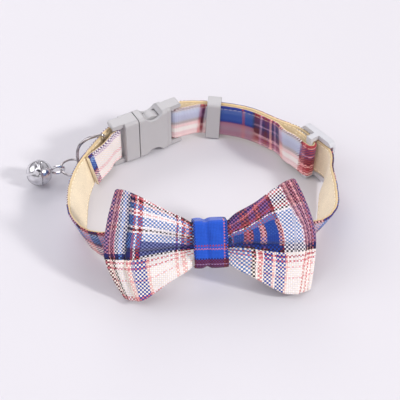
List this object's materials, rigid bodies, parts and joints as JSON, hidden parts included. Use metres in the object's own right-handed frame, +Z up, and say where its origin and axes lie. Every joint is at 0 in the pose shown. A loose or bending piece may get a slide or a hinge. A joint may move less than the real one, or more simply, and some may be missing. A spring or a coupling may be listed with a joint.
{
  "type": "pet bow tie collar",
  "caption": "Plaid cloth pet collar in a closed loop, with a pinched bow tie, side-release buckle, keeper, adjuster slider and a bell hanging from a D-ring",
  "frame": {"origin": "middle of the underside of the whole collar, on the floor it lies on", "axes": "+Z up, the bow faces -Y and looks up, +X to the right as seen from the bow's side, the bell lies at -X"},
  "size_m": [0.097, 0.0796, 0.0287],
  "materials": {
    "strap": "plaid weave outside, cream lining inside",
    "plastic": "satin grey moulding",
    "slider": "pale grey, slightly translucent",
    "metal": "polished plate",
    "bell": "polished plate",
    "bow": "plaid shirting weave",
    "knot": "plaid shirting weave, blue field"
  },
  "bodies": {
    "root": {"strap": "strap", "buckle_male": "plastic", "buckle_female": "plastic", "keeper": "plastic", "slider": "slider", "d_ring": "metal", "jump_ring": "metal", "bell_shell": "bell", "bell_pellet": "metal", "bow": "bow", "bow_knot": "knot"}
  },
  "joints": []
}
